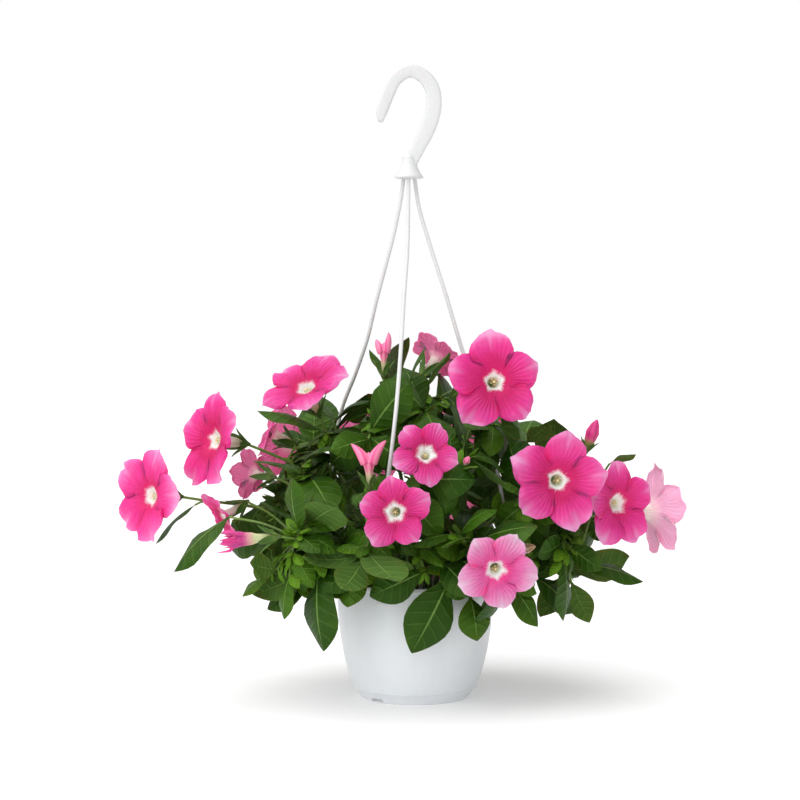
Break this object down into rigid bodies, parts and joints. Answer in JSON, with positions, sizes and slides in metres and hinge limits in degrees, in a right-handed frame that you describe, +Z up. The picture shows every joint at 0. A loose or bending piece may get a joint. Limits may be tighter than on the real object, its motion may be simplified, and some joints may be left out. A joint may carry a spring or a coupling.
{
  "type": "potted madagascar periwinkle",
  "caption": "Rounded bush of leafy stems with pink five-lobed funnel blooms in a round white plastic hanging pot, with a hook on three stiff strands; stands on its foot.",
  "frame": {"origin": "centre of the pot's foot, on the surface that the pot stands on", "axes": "+Z up along the pot's axis to the hook, -Y towards the front of the picture, +X to its right"},
  "size_m": [0.5424, 0.365, 0.6055],
  "materials": {
    "white_plastic": "satin",
    "soil": "matte",
    "foliage": "satin",
    "pink_petal": "matte",
    "pale_petal": "matte",
    "bud": "matte"
  },
  "bodies": {
    "root": {"pot": "white_plastic", "soil": "soil", "hanger": "white_plastic", "stem_01": "foliage", "stem_02": "foliage", "stem_03": "foliage", "stem_04": "foliage", "stem_05": "foliage", "stem_06": "foliage", "stem_07": "foliage", "stem_08": "foliage", "stem_09": "foliage", "stem_10": "foliage", "stem_11": "foliage", "stem_12": "foliage", "stem_13": "foliage", "stem_14": "foliage", "stem_15": "foliage", "stem_16": "foliage", "stem_17": "foliage", "stem_18": "foliage", "stem_19": "foliage", "stem_20": "foliage", "stem_21": "foliage", "bloom_01": "pink_petal", "bloom_02": "pink_petal", "bloom_03": "pink_petal", "bloom_04": "pink_petal", "bloom_05": "pink_petal", "bloom_06": "pink_petal", "bloom_07": "pink_petal", "bloom_08": "pink_petal", "bloom_09": "pink_petal", "bloom_10": "pink_petal", "bloom_11": "pink_petal", "bloom_12": "pink_petal", "bloom_13": "pink_petal", "bloom_14": "pale_petal", "bloom_15": "pale_petal", "bloom_16": "pink_petal", "bloom_17": "pink_petal", "bloom_18": "pink_petal", "bloom_19": "pink_petal", "bloom_20": "pink_petal", "bloom_21": "pink_petal", "bud_1": "bud", "bud_2": "bud", "bud_3": "bud", "bud_4": "bud", "bud_5": "bud", "bud_6": "bud"}
  },
  "joints": []
}
